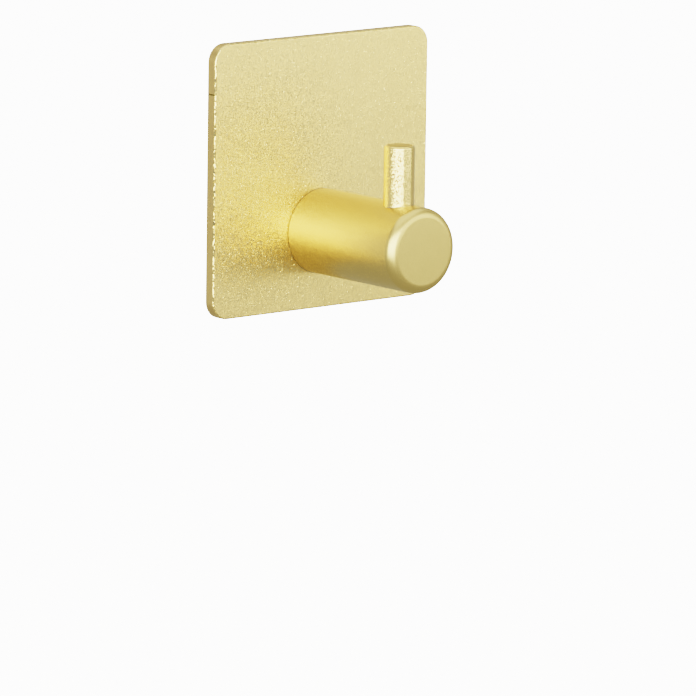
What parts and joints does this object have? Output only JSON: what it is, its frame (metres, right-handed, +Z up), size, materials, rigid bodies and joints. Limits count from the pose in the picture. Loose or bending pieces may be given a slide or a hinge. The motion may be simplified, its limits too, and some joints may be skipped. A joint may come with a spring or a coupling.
{
  "type": "towel hook",
  "caption": "Self-adhesive wall hook: thin square plate with rounded corners, a stout round peg standing out of it and an upright stop pin that keeps a towel loop from sliding off.",
  "frame": {"origin": "centre of the adhesive pad's wall face", "axes": "+Y into the wall, +X to the right of someone facing the hook, +Z up along the stop pin"},
  "size_m": [0.045, 0.0288, 0.045],
  "materials": {
    "blasted_plate": "bead-blasted, anodised pale gold",
    "blasted_peg": "turned, finely bead-blasted, anodised pale gold",
    "blasted_pin": "turned, bead-blasted, anodised pale gold",
    "screw_steel": "zinc-plated steel",
    "foam_tape": "closed-cell acrylic foam tape, dark grey"
  },
  "bodies": {
    "root": {"back_plate": "blasted_plate", "peg": "blasted_peg", "stop_pin": "blasted_pin", "fixing_screw": "screw_steel", "adhesive_pad": "foam_tape"}
  },
  "joints": []
}
